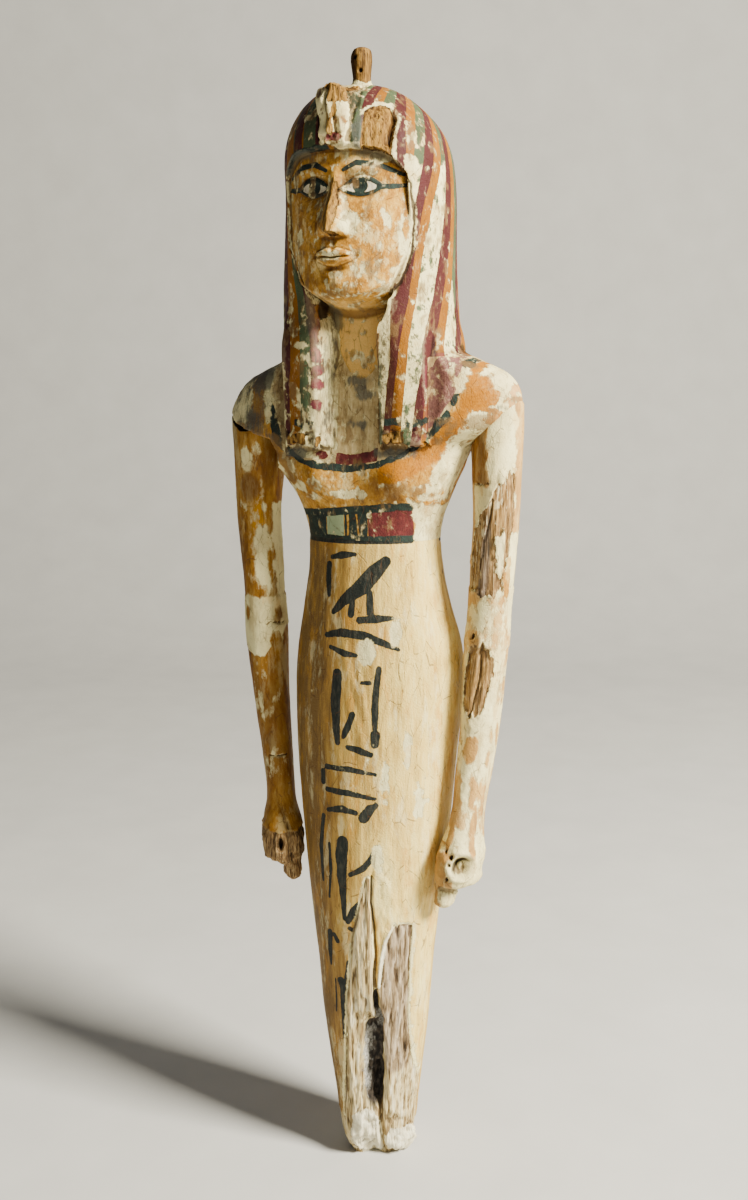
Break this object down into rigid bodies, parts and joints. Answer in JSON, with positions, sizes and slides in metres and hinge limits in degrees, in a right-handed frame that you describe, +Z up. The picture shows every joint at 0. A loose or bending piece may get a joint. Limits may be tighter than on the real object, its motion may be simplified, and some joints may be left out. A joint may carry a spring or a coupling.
{
  "type": "painted wooden standing figure",
  "caption": "Ancient painted wooden statuette of a standing figure in a striped wig and long close skirt, arms hanging, feet broken away.",
  "frame": {"origin": "on the flat underside of the foot end, under the middle of the figure", "axes": "+Z up along the figure, the figure faces -Y, its own left side is +X"},
  "size_m": [0.1634, 0.0917, 0.6],
  "materials": {
    "painted_wood": "old paint on gesso over wood, lightly varnished, chipped and worn",
    "painted_arm": "flesh paint on gesso over wood, flaked to bare wood",
    "bare_dowel": "bare weathered wood"
  },
  "bodies": {
    "root": {"body": "painted_wood", "right_arm": "painted_arm", "left_arm": "painted_arm", "crown_peg": "bare_dowel"}
  },
  "joints": []
}
